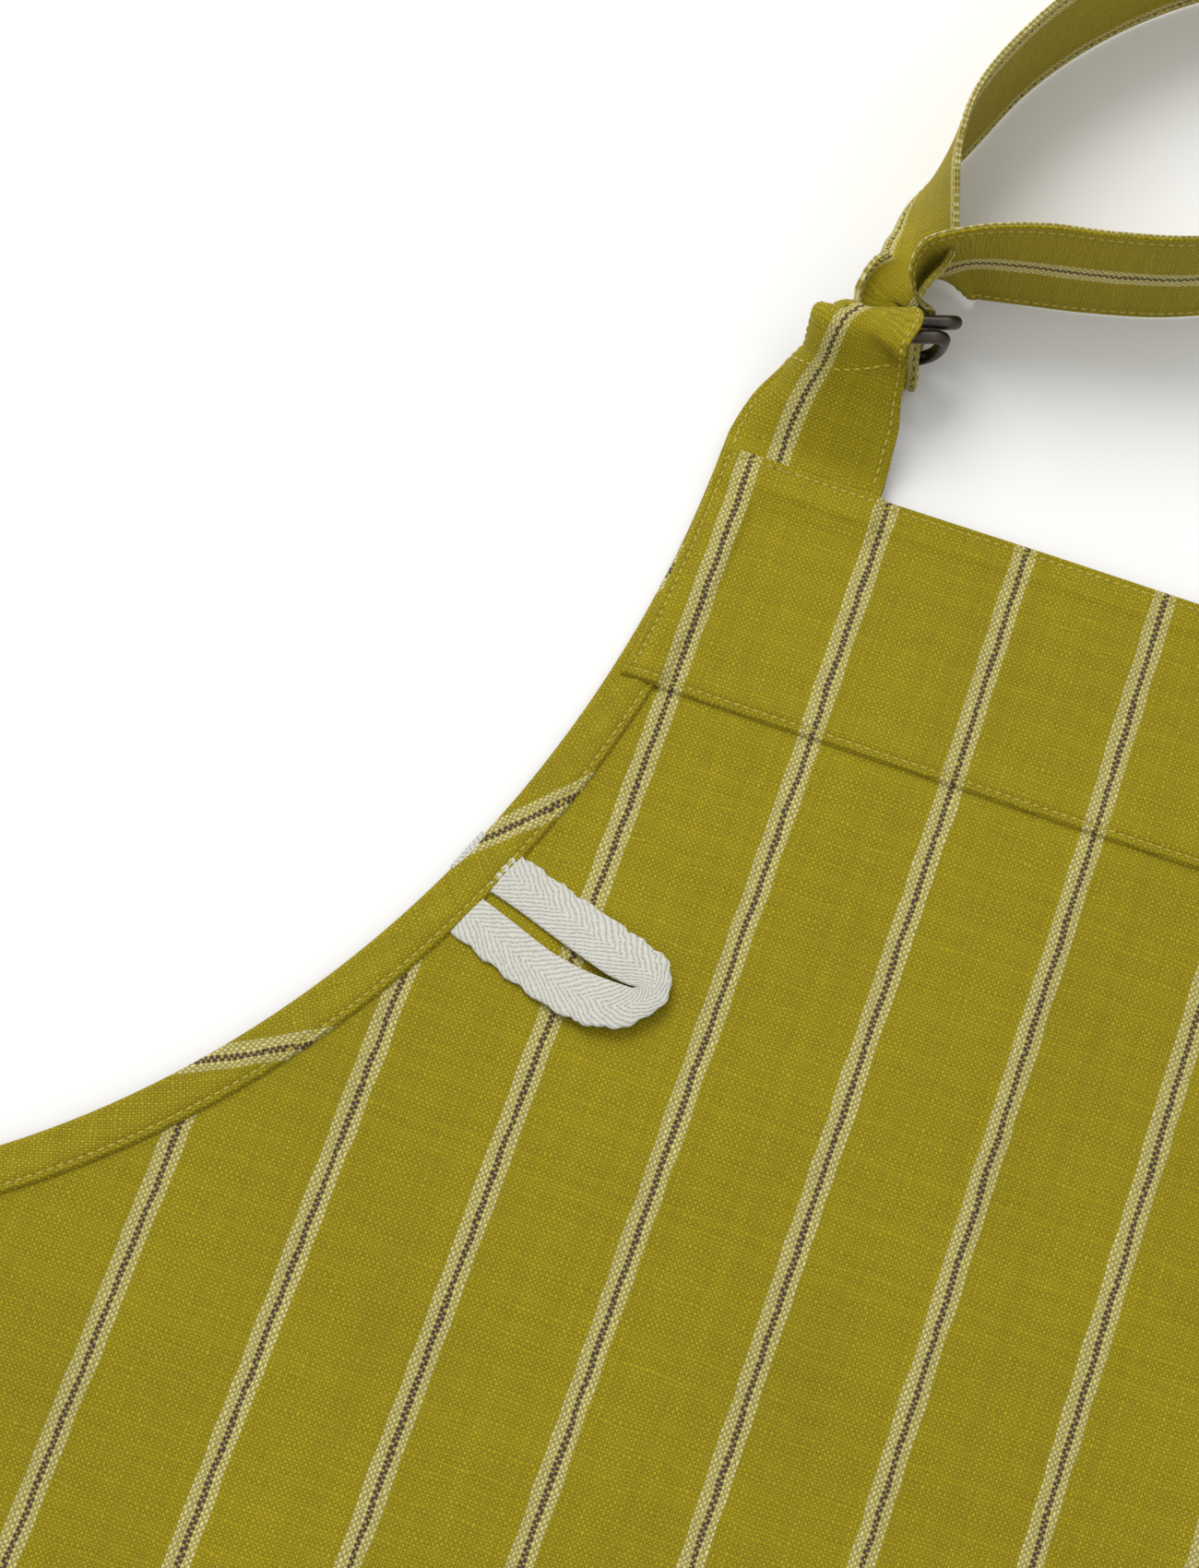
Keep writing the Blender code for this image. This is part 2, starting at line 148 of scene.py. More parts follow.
class Graph:
    """A Principled material with short ways to add the nodes that drive it."""

    def __init__(self, name):
        self.material = bpy.data.materials.new(name)
        self.material.use_nodes = True
        self.tree = self.material.node_tree
        self.shader = self.tree.nodes["Principled BSDF"]

    def put(self, value, socket):
        """Set a socket to a number or colour, or link an output to it."""
        if isinstance(value, (int, float)):
            socket.default_value = value
        elif isinstance(value, tuple):
            socket.default_value = (*value, 1.0)
        else:
            self.tree.links.new(value, socket)

    def node(self, kind, **settings):
        node = self.tree.nodes.new(kind)
        for name, value in settings.items():
            setattr(node, name, value)
        return node

    def math(self, operation, *values):
        node = self.node("ShaderNodeMath", operation=operation)
        for value, socket in zip(values, node.inputs):
            self.put(value, socket)
        return node.outputs[0]

    def between(self, value, low, high):
        """A value from 0 to 1 stretched to run from low to high."""
        return self.math("MULTIPLY_ADD", value, high - low, low)

    def mix(self, share, first, second, blend="MIX"):
        node = self.node("ShaderNodeMix", data_type="RGBA", blend_type=blend)
        node.inputs[0].default_value = 1.0
        self.put(share, node.inputs[0])
        self.put(first, node.inputs[6])
        self.put(second, node.inputs[7])
        return node.outputs[2]

    def scaled(self, colour, amount):
        """A colour times a number."""
        grey = self.node("ShaderNodeCombineColor")
        for socket in grey.inputs:
            self.put(amount, socket)
        return self.mix(1.0, colour, grey.outputs[0], "MULTIPLY")

    def cloth(self):
        """The cloth map, and its places across and along the warp."""
        uv = self.node("ShaderNodeUVMap", uv_map="cloth")
        split = self.node("ShaderNodeSeparateXYZ")
        self.put(uv.outputs[0], split.inputs[0])
        return uv.outputs[0], split.outputs[0], split.outputs[1]

    def thread_height(self, across, along, number, raised):
        """Height of a set of round threads that rise and dip as they pass the crossing ones."""
        off = self.math("MULTIPLY_ADD", self.math("FRACT", across), 2.0, -1.0)
        edge = self.math("SUBTRACT", 1.0, self.math("MULTIPLY", off, off))
        phase = self.math("SUBTRACT", along, self.math("ADD", number, 0.5))
        wave = self.math("COSINE", self.math("MULTIPLY", phase, math.pi))
        return self.math("MULTIPLY_ADD", wave, 0.55, self.math("ADD", self.math("SQRT", edge), raised))

    def place(self):
        return self.node("ShaderNodeTexCoord").outputs["Object"]

    def random(self, value, seed):
        node = self.node("ShaderNodeTexWhiteNoise", noise_dimensions="1D")
        self.put(self.math("ADD", value, seed), node.inputs["W"])
        return node.outputs["Value"]

    def noise(self, vector, scale, detail=2.0, stretch=(1.0, 1.0, 1.0)):
        mapping = self.node("ShaderNodeMapping")
        mapping.inputs["Scale"].default_value = stretch
        self.put(vector, mapping.inputs["Vector"])
        node = self.node("ShaderNodeTexNoise")
        node.inputs["Scale"].default_value = scale
        node.inputs["Detail"].default_value = detail
        self.put(mapping.outputs[0], node.inputs["Vector"])
        return node.outputs["Fac"]

    def bump(self, height, strength, distance):
        node = self.node("ShaderNodeBump")
        node.inputs["Strength"].default_value = strength
        node.inputs["Distance"].default_value = distance
        self.put(height, node.inputs["Height"])
        return node.outputs[0]

    def finish(self, colour, roughness, normal, metallic=0.0, sheen=0.0):
        self.put(colour, self.shader.inputs["Base Color"])
        self.put(roughness, self.shader.inputs["Roughness"])
        self.put(normal, self.shader.inputs["Normal"])
        self.shader.inputs["Metallic"].default_value = metallic
        self.shader.inputs["Sheen Weight"].default_value = sheen
        self.shader.inputs["Sheen Roughness"].default_value = 0.6
        return self.material


def canvas(name, warp, weft, seed):
    """Plain-weave canvas: round threads that pass over and under, with a stripe of nine warps."""
    g = Graph(name)
    uv, across, along = g.cloth()
    warp_wander = g.between(g.noise(uv, 9.0, 3.0, (1.0, 0.35, 1.0)), -1.1, 1.1)
    weft_wander = g.between(g.noise(uv, 11.0, 3.0, (0.35, 1.0, 1.0)), -1.6, 1.6)
    warp_place = g.math("ADD", g.math("MULTIPLY", g.math("ADD", across, 0.5), float(WARPS)), warp_wander)
    weft_place = g.math("ADD", g.math("MULTIPLY", along, float(WEFTS)), weft_wander)
    warp_number = g.math("FLOOR", warp_place)
    weft_number = g.math("FLOOR", weft_place)
    place = g.math("FLOORED_MODULO", warp_number, float(WARPS))
    from_middle = g.math("ABSOLUTE", g.math("SUBTRACT", place, STRIPE_MIDDLE))
    cream = g.math("LESS_THAN", from_middle, CREAM_REACH)
    dark = g.math("LESS_THAN", from_middle, DARK_REACH)
    raised = g.math("MULTIPLY_ADD", dark, 0.34, g.math("MULTIPLY_ADD", cream, 0.20, -0.10))
    warp_height = g.thread_height(warp_place, weft_place, warp_number, raised)
    weft_height = g.thread_height(weft_place, warp_place, g.math("ADD", weft_number, 1.0), 0.0)
    under = g.math("LESS_THAN", warp_height, weft_height)
    height = g.math("MAXIMUM", warp_height, weft_height)
    # Thread height from low to high. It drives the painted shade and painted highlight below, and the
    # roughness.
    lit = g.node("ShaderNodeMapRange")
    g.put(height, lit.inputs["Value"])
    lit.inputs["From Min"].default_value = 0.35
    lit.inputs["From Max"].default_value = 1.45
    warp_colour = g.mix(cream, warp, CREAM)
    warp_colour = g.mix(dark, warp_colour, DARK)
    warp_slub = g.noise(uv, 60.0, 1.0, (1.0, 0.10, 1.0))
    weft_slub = g.noise(uv, 60.0, 1.0, (0.10, 1.0, 1.0))
    warp_tone = g.between(g.random(warp_number, seed), 0.70, 0.90)
    warp_tone = g.math("ADD", warp_tone, g.between(warp_slub, 0.0, 0.4))
    weft_tone = g.between(g.random(weft_number, seed + 400.0), 0.70, 0.90)
    weft_tone = g.math("ADD", weft_tone, g.between(weft_slub, 0.0, 0.4))
    weft_colour = g.mix(g.math("MULTIPLY", cream, 0.22), weft, CREAM)
    colour = g.mix(under, g.scaled(warp_colour, warp_tone), g.scaled(weft_colour, weft_tone))
    # Painted shade and painted highlight: the colour is darkened and deepened where threads dip into the
    # gaps between them, and lightened and whitened on their tops.
    painted_shade_and_highlight = g.mix(lit.outputs[0], (0.50, 0.46, 0.21), (1.12, 1.12, 1.22))
    colour = g.mix(1.0, colour, painted_shade_and_highlight, "MULTIPLY")
    colour = g.scaled(colour, g.between(g.noise(uv, 0.7, 3.0), 0.86, 1.14))
    fuzz = g.math("MULTIPLY_ADD", g.noise(uv, 160.0, 2.0), 0.4, height)
    normal = g.bump(fuzz, 0.7, 0.00016)
    g.shader.inputs["Specular IOR Level"].default_value = 0.22
    return g.finish(colour, g.between(lit.outputs[0], 0.95, 0.78), normal, sheen=0.03)


def twill_tape():
    """Herringbone twill: slanting ribs that meet in a spine down the tape's middle."""
    g = Graph("herringbone_tape")
    uv, across, along = g.cloth()
    side = g.math("ABSOLUTE", g.math("ADD", across, g.between(g.noise(uv, 8.0, 1.0), -0.02, 0.02)))
    slant = g.math("MULTIPLY_ADD", along, RIBS_ALONG, g.math("MULTIPLY", side, RIB_SLANT))
    slant = g.math("ADD", slant, g.between(g.noise(uv, 20.0, 2.0), -0.35, 0.35))
    rib = g.math("POWER", g.math("ABSOLUTE", g.math("SINE", g.math("MULTIPLY", slant, math.pi))), 0.6)
    warp = g.math("ABSOLUTE", g.math("SINE", g.math("MULTIPLY", across, TAPE_WARPS * math.pi)))
    weft = g.math("ABSOLUTE", g.math("SINE", g.math("MULTIPLY", along, TAPE_WEFTS * math.pi)))
    knots = g.math("MULTIPLY", warp, weft)
    pits = g.math("MAXIMUM", rib, g.math("MULTIPLY", knots, 0.9))
    height = g.math("MULTIPLY_ADD", g.noise(uv, 60.0, 3.0), 0.7, pits)
    # Painted shade: the tape's colour darkens in the grooves between the ribs and between the threads,
    # where they dip.
    colour = g.mix(g.math("POWER", pits, 0.8), (0.30, 0.30, 0.25), (0.66, 0.65, 0.58))
    colour = g.scaled(colour, g.between(g.noise(uv, 26.0, 3.0), 0.80, 1.12))
    return g.finish(colour, 0.9, g.bump(height, 0.8, 0.00022), sheen=0.15)


def sewing_thread():
    """Twisted cotton thread in the cloth's colour, with painted shade at each stitch's ends, where it
    dives into the cloth.
    """
    g = Graph("sewing_thread")
    share = g.cloth()[2]
    # Painted shade near both ends of each stitch, read from the share along the stitch in the cloth map.
    painted_end_shade = g.math("POWER", g.math("ABSOLUTE", share), 4.0)
    twist = g.noise(g.place(), 2600.0, 1.0)
    colour = g.mix(painted_end_shade, (0.44, 0.36, 0.016), (0.07, 0.055, 0.004))
    colour = g.scaled(colour, g.between(twist, 0.75, 1.25))
    return g.finish(colour, 0.6, g.bump(twist, 0.4, 0.0001), sheen=0.2)


def gun_metal():
    """Dark plated wire with faint drawing marks and brighter rubbed spots."""
    g = Graph("gun_metal")
    place = g.place()
    grain = g.noise(place, 900.0, 3.0)
    worn = g.math("POWER", g.noise(place, 140.0, 2.0), 3.0)
    colour = g.mix(worn, (0.050, 0.040, 0.034), (0.16, 0.14, 0.12))
    return g.finish(colour, g.between(grain, 0.26, 0.48), g.bump(grain, 0.12, 0.0001), metallic=1.0)


def table_top():
    """Nearly white table."""
    g = Graph("table_white")
    shade = g.noise(g.place(), 3.0, 2.0)
    colour = g.scaled((1.0, 1.0, 1.0), g.between(shade, 0.90, 0.94))
    return g.finish(colour, 0.9, g.bump(shade, 0.05, 0.001))


# ---------------------------------------------------------------- meshes

def smooth(value):
    """A value held to 0 to 1 and eased at both ends."""
    value = np.clip(value, 0.0, 1.0)
    return value * value * (3.0 - 2.0 * value)


def through(stations, steps):
    """Catmull-Rom curve through rows of numbers, with even steps between them."""
    rows = np.array([stations[0], *stations, stations[-1]], float)
    result = []
    for a, b, c, d in zip(rows, rows[1:], rows[2:], rows[3:]):
        for t in np.arange(steps) / steps:
            bend = 2 * b + (c - a) * t + (2 * a - 5 * b + 4 * c - d) * t * t
            result.append((bend + (3 * b - a - 3 * c + d) * t ** 3) / 2)
    return np.array(result + [rows[-1]])


def lengths(points):
    """Distance along a line of points."""
    steps = np.linalg.norm(np.diff(points, axis=0), axis=1)
    return np.concatenate([[0.0], np.cumsum(steps)])


def relief(x, y):
    """Long, low swells of cloth that doesn't lie quite flat."""
    swell = 0.55 * (1.0 + np.sin(x / 61.0 + y / 118.0 + 0.6))
    roll = 0.40 * (1.0 + np.sin(x / 37.0 - y / 83.0 + 2.1) * np.sin(y / 140.0 + 0.8))
    ripple = 0.12 * (1.0 + np.sin(x / 14.0 + 1.7 * np.sin(y / 52.0)) * np.cos(y / 23.0))
    return swell + roll + ripple


def add_mesh(name, points, faces, cloth, material):
    """One smooth mesh object from points in millimetres, with its cloth map."""
    mesh = bpy.data.meshes.new(name)
    places = np.array(points, float) * MM
    places[:, 1] += BIB_TOP * MM
    mesh.from_pydata(places.tolist(), [], faces)
    if cloth is not None:
        layer = mesh.uv_layers.new(name="cloth")
        corners = np.empty(len(mesh.loops), np.int32)
        mesh.loops.foreach_get("vertex_index", corners)
        layer.data.foreach_set("uv", np.array(cloth, float)[corners].ravel())
    mesh.materials.append(material)
    mesh.shade_smooth()
    item = bpy.data.objects.new(name, mesh)
    bpy.context.scene.collection.objects.link(item)
    return item


def grid_faces(rows, columns, closed=False, start=0):
    """Quads of a grid of points, row by row."""
    faces = []
    last = columns if closed else columns - 1
    for row in range(rows - 1):
        for column in range(last):
            near = start + row * columns
            beside = (column + 1) % columns
            far = near + columns
            faces.append((near + column, near + beside, far + beside, far + column))
    return faces


def sheet(name, points, cloth, material, thickness=CLOTH):
    """A cloth sheet from a grid of its top points, thickened downwards."""
    rows, columns = points.shape[:2]
    flat = points.reshape(-1, 3)
    faces = grid_faces(rows, columns)
    corner, beside, opposite = faces[len(faces) // 2][:3]
    if np.cross(flat[beside] - flat[corner], flat[opposite] - flat[corner])[2] < 0.0:
        faces = [face[::-1] for face in faces]
    item = add_mesh(name, flat, faces, cloth.reshape(-1, 2), material)
    shell = item.modifiers.new("ply", "SOLIDIFY")
    shell.thickness = thickness * MM
    shell.offset = -1.0
    return item


def edge_steps(length, fine, spacing):
    """Places along a side: fine steps in from both ends, wider ones between."""
    near = [step for step in fine if step < length / 2 - 0.1]
    count = max(1, int(round((length - 2 * near[-1]) / spacing)))
    middle = np.linspace(near[-1], length - near[-1], count + 1)[1:-1]
    return np.array(near + middle.tolist() + [length - step for step in reversed(near)])


def folded_edge(inset, tuck, row):
    """Height of a turned and stitched edge over the cloth below, by distance in from the edge."""
    rise = CLOTH * (1.0 - np.exp(-inset / 0.30))
    turned = 0.55 * (1.0 - smooth((inset - tuck + 1.2) / 1.6)) * smooth(inset / 0.7)
    dent = STITCH_DENT * np.exp(-(((inset - row) / 0.6) ** 2))
    return rise + turned - dent


def pucker(inset, place, row):
    """Small pulls that the stitches make along a seam."""
    near = np.exp(-(((inset - row) / 1.3) ** 2))
    return 0.16 * near * np.sin(2.0 * math.pi * place / STITCH_PITCH)


def stitch_tube(middles, beside, above, sides):
    """Rings of points round one stitch, thinner at its ends."""
    share = np.linspace(-1.0, 1.0, len(middles))
    radius = THREAD / 2 * (1.0 - 0.45 * share ** 4)
    angle = np.linspace(0.0, 2.0 * math.pi, sides, endpoint=False)
    around = np.cos(angle)[:, None] * beside + np.sin(angle)[:, None] * above
    return (middles[:, None, :] + radius[:, None, None] * around).reshape(-1, 3)


def stitches(name, runs, material):
    """Rows of sewn thread: a short humped length for each stitch, its ends sunk in the cloth.

    A run is a line of points on the cloth and the direction that faces out of it at each of them.
    """
    sides, bends = 6, 7
    points, faces, cloth = [], [], []
    share = np.linspace(-1.0, 1.0, bends)
    for line, outward in runs:
        line, outward = np.array(line, float), np.array(outward, float)
        reach = lengths(line)
        for number in range(int(reach[-1] / STITCH_PITCH)):
            start = (number + 0.1) * STITCH_PITCH
            where = np.linspace(start, start + STITCH_LENGTH, bends)
            middles = np.stack([np.interp(where, reach, line[:, axis]) for axis in range(3)], axis=1)
            middle = where[bends // 2]
            above = np.array([np.interp(middle, reach, outward[:, axis]) for axis in range(3)])
            above /= np.linalg.norm(above)
            middles += (0.10 - 0.26 * share ** 4)[:, None] * above
            direction = middles[-1] - middles[0]
            beside = np.cross(direction, above)
            beside /= np.linalg.norm(beside)
            base = sides * bends * len(points)
            square = np.cross(beside, direction / np.linalg.norm(direction))
            points.append(stitch_tube(middles, beside, square, sides))
            # The cloth map holds the share along each stitch, which places the thread's painted shade at
            # its ends.
            cloth.append(np.stack([np.zeros(bends * sides), np.repeat(share, sides)], axis=1))
            last = base + (bends - 1) * sides
            faces += grid_faces(bends, sides, True, base)
            faces.append(tuple(range(base + sides - 1, base - 1, -1)))
            faces.append(tuple(range(last, last + sides)))
    item = add_mesh(name, np.concatenate(points), faces, np.concatenate(cloth), material)
    return item


def flat_run(x, y, z):
    """A line of stitching on cloth that lies flat."""
    line = np.stack(np.broadcast_arrays(x, y, z), axis=-1).astype(float)
    return line, np.broadcast_to((0.0, 0.0, 1.0), line.shape)


# ---------------------------------------------------------------- the panel and its edges

def armhole_point(angle, inset, side):
    """Point on the armhole's quarter ellipse, moved inwards along its normal."""
    reach = HALF_WIDTH - HALF_BIB
    x = HALF_BIB + reach * (1.0 - np.cos(angle))
    y = -ARMHOLE_DEPTH * np.sin(angle)
    normal_x = -ARMHOLE_DEPTH * np.cos(angle)
    normal_y = -reach * np.sin(angle)
    size = np.hypot(normal_x, normal_y)
    return side * (x + normal_x / size * inset), y + normal_y / size * inset


def half_width(y):
    """Half the panel's width at a height."""
    share = np.clip(-y / ARMHOLE_DEPTH, 0.0, 1.0)
    return HALF_BIB + (HALF_WIDTH - HALF_BIB) * (1.0 - np.sqrt(1.0 - share * share))


def panel_top(x, y):
    """Height of the panel's upper face."""
    return PANEL_TOP + relief(x, y)


def body_panel(material):
    """The striped panel, lying in low swells."""
    angles = np.linspace(0.0, math.pi / 2, 70)
    arm_rows = -ARMHOLE_DEPTH * np.sin(angles)
    skirt_rows = np.linspace(-ARMHOLE_DEPTH, -LENGTH + 0.6, 150)[1:]
    rows = np.concatenate([arm_rows, skirt_rows, [-LENGTH + 0.2, -LENGTH]])
    inner = np.linspace(-1.0, 1.0, 160)
    points = np.zeros((len(rows), len(inner) + 4, 3))
    for index, y in enumerate(rows):
        half = half_width(y)
        rim = np.array([half, half - 0.35])
        points[index, :, 0] = np.concatenate([-rim, inner * (half - 1.0), rim[::-1]])
        points[index, :, 1] = y
    x, y = points[..., 0], points[..., 1]
    edge = np.minimum(half_width(y) - np.abs(x), LENGTH + y)
    points[..., 2] = panel_top(x, y) - 0.35 * np.exp(-edge / 0.4)
    cloth = np.stack([x, y], axis=2) / REPEAT
    item = sheet("panel_cloth", points, cloth, material)
    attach(item, "apron")
    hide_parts("body_panel")
    return item


def lift_over_ends(x, y):
    """How far the neck tab and strap lift the facing where their ends are sewn under it."""
    left = 1.0 - smooth((np.abs(x - TAB_ROOT) - STRAP_WIDTH / 2 + 0.5) / 3.0)
    right = 1.0 - smooth((np.abs(x - STRAP_ROOT) - STRAP_WIDTH / 2 + 0.5) / 3.0)
    return (1.6 * left + 1.1 * right) * (1.0 - smooth((-y - 8.0) / 8.0))


def strip_rise(inset):
    """Height of the armhole strip's face over the panel, by distance in from the armhole's edge."""
    roll = (CLOTH + 0.5) * np.sqrt(np.clip(1.0 - (1.0 - np.minimum(inset, 1.3) / 1.3) ** 2, 0.0, 1.0))
    inner = folded_edge(BIAS_WIDTH - inset, 6.0, FOLD_STITCH) - CLOTH
    swell = 0.18 * np.sin(math.pi * np.clip(inset / BIAS_WIDTH, 0.0, 1.0))
    return roll + inner + swell - 0.45


def strip_under_facing(x, y):
    """How far the armhole strip lifts the facing that lies over its end."""
    inset = half_width(y) - np.abs(x)
    step = smooth((inset - BIAS_WIDTH + 6.5) / 2.0)
    return (0.95 + 0.40 * step) * (1.0 - smooth((inset - BIAS_WIDTH + 0.2) / 2.4))


def side_of_facing(y):
    """Half the facing's width at a height: close to the armhole at the top, further inside it below."""
    return half_width(y) - 0.3 - (FACING_INSET - 0.3) * (y / FACING_DEPTH) ** 2


def facing_top(x, y):
    """Height of the bib facing, folded under and stitched along all four edges."""
    from_side = side_of_facing(y) - np.abs(x)
    from_ends = np.minimum(-y, y + FACING_DEPTH)
    inset = np.minimum(from_side, from_ends)
    along = np.where(from_side < from_ends, y, x)
    height = panel_top(x, y) + 0.05 + np.maximum(strip_under_facing(x, y), lift_over_ends(x, y))
    return height + folded_edge(inset, 9.0, EDGE_STITCH) + pucker(inset, along, EDGE_STITCH)


def bib_facing(material):
    """Deep band of cloth across the inside of the bib."""
    fine = [0.0, 0.12, 0.3, 0.55, 0.9, 1.3, 1.7, 2.1, 2.5, 3.0, 3.8]
    x = edge_steps(2 * FACING_HALF, fine, 0.8) - FACING_HALF
    y = -edge_steps(FACING_DEPTH, fine, 0.8)
    grid_y, grid_x = np.meshgrid(y, x, indexing="ij")
    grid_x = grid_x * side_of_facing(grid_y) / FACING_HALF
    points = np.stack([grid_x, grid_y, facing_top(grid_x, grid_y)], axis=2)
    cloth = np.stack([grid_x + 0.9 + grid_y * 0.012, grid_y + 11.0], axis=2) / REPEAT
    item = sheet("facing_cloth", points, cloth, material)
    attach(item, "apron")
    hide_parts("bib_facing")
    return item


def facing_seams():
    """The four lines of stitching round the facing."""
    share = np.linspace(-1.0, 1.0, 500)
    y = np.linspace(-EDGE_STITCH, EDGE_STITCH - FACING_DEPTH, 120)
    lines = []
    for down in (-EDGE_STITCH, EDGE_STITCH - FACING_DEPTH):
        lines.append((share * (side_of_facing(down) - EDGE_STITCH), np.full_like(share, down)))
    lines += [(side * (side_of_facing(y) - EDGE_STITCH), y) for side in (-1.0, 1.0)]
    return [flat_run(along, down, facing_top(along, down)) for along, down in lines]


def bias_top(angle, inset, side):
    """Point on top of the armhole strip, by angle round the armhole and distance from its edge."""
    x, y = armhole_point(angle, inset, side)
    return np.stack([x, y, panel_top(x, y) + strip_rise(inset)], axis=-1)


def armhole_facing(name, side, node, phase, material):
    """Bias strip that finishes one armhole; its stripes run slanting across it."""
    angles = np.linspace(0.0, math.pi / 2, 440)
    inset = np.array([0.0, 0.08, 0.25, 0.5, 0.85, 1.3, 2.0, 3.5, 5.0, 6.5, 7.6, 8.2, 8.7, 9.1, 9.4, 9.8,
                      10.2, 10.5, 10.75, 10.9, BIAS_WIDTH])
    grid_angle, grid_inset = np.meshgrid(angles, inset, indexing="ij")
    points = bias_top(grid_angle, grid_inset, side)
    reach = lengths(points[:, 0])
    along = np.repeat(reach[:, None], len(inset), axis=1)
    points[..., 2] += pucker(BIAS_WIDTH - grid_inset, along, FOLD_STITCH)
    across = along * math.sin(BIAS_ANGLE) + grid_inset * math.cos(BIAS_ANGLE)
    down = along * math.cos(BIAS_ANGLE) - grid_inset * math.sin(BIAS_ANGLE)
    cloth = np.stack([across / REPEAT + phase, down / REPEAT], axis=2)
    item = sheet(name, points, cloth, material)
    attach(item, "apron")
    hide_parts(node)
    return item, reach[-1]


def bias_seam(side):
    """Line of stitching along an armhole strip's inner edge, from the facing down."""
    angles = np.linspace(math.asin(FACING_DEPTH / ARMHOLE_DEPTH), math.pi / 2, 500)
    line = bias_top(angles, np.full_like(angles, BIAS_WIDTH - FOLD_STITCH), side)
    return flat_run(line[:, 0], line[:, 1], line[:, 2])


def hem(name, start, end, inward, width, material):
    """Hem: a band of the panel's own cloth, turned over and stitched near its inner fold."""
    start, end, inward = (np.array(value, float) for value in (start, end, inward))
    reach = np.linalg.norm(end - start)
    along = np.linspace(0.0, reach, int(reach / 0.9))
    inset = np.array([0.0, 0.1, 0.3, 0.6, 1.0, 1.6, width * 0.3, width * 0.6, width - 3.0, width - 2.3,
                      width - 1.9, width - 1.7, width - 1.4, width - 1.0, width - 0.6, width - 0.3,
                      width - 0.1, width])
    grid_along, grid_inset = np.meshgrid(along, inset, indexing="ij")
    line = (end - start) / reach
    x = start[0] + line[0] * grid_along + inward[0] * grid_inset
    y = start[1] + line[1] * grid_along + inward[1] * grid_inset
    roll = 1.15 * np.sqrt(np.clip(1.0 - (1.0 - np.minimum(grid_inset, 0.9) / 0.9) ** 2, 0.0, 1.0))
    inner = folded_edge(width - grid_inset, 100.0, FOLD_STITCH) - CLOTH - 0.55
    height = panel_top(x, y) - 0.45 + roll + inner + pucker(width - grid_inset, grid_along, FOLD_STITCH)
    points = np.stack([x, y, height], axis=2)
    cloth = np.stack([x, -y + 7.0], axis=2) / REPEAT
    item = sheet(name, points, cloth, material)
    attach(item, "apron")
    seam = points[:, np.argmin(np.abs(width - FOLD_STITCH - inset))]
    return item, flat_run(seam[:, 0], seam[:, 1], seam[:, 2])


# ---------------------------------------------------------------- straps

def strap_section(width, ply, row):
    """Outline of a sewn strap cut across: two plies of cloth that meet in a groove at each edge."""
    rim = [(0.45, 0.06), (0.12, 0.2), (0.0, 0.5), (0.12, 0.82), (0.45, 0.97), (0.9, 1.0)]
    insets = [inset for inset, share in rim] + [1.4, 1.8, row, row + 0.4, row + 0.8, row + 1.6]
    shares = [share for inset, share in rim] + [1.0] * 6
    inner = np.linspace(row + 1.6, width - row - 1.6, 16)[1:-1]
    offset = np.concatenate([insets, inner, width - np.array(insets[::-1])]) - width / 2
    height = np.array(shares + [1.0] * len(inner) + shares[::-1]) * ply / 2
    inset = width / 2 - np.abs(offset)
    height -= 0.18 * np.exp(-(((inset - row) / 0.6) ** 2))
    return np.concatenate([offset, offset[::-1]]), np.concatenate([height, -height[::-1]])


def bent(offset, width, left, right):
    """Where a place across a strap goes when its sides curl down: sideways, up, and its slope."""
    fine = np.linspace(-1.0, 1.0, 121)
    slope = np.where(fine < 0.0, left, -right) * np.abs(fine) ** 2.0
    step = np.diff(fine) * width / 2
    middle = (slope[1:] + slope[:-1]) / 2
    sideways = np.concatenate([[0.0], np.cumsum(np.cos(middle) * step)])
    up = np.concatenate([[0.0], np.cumsum(np.sin(middle) * step)])
    sideways -= sideways[len(fine) // 2]
    up -= up[len(fine) // 2]
    place = offset / (width / 2)
    return np.interp(place, fine, sideways), np.interp(place, fine, up), np.interp(place, fine, slope)


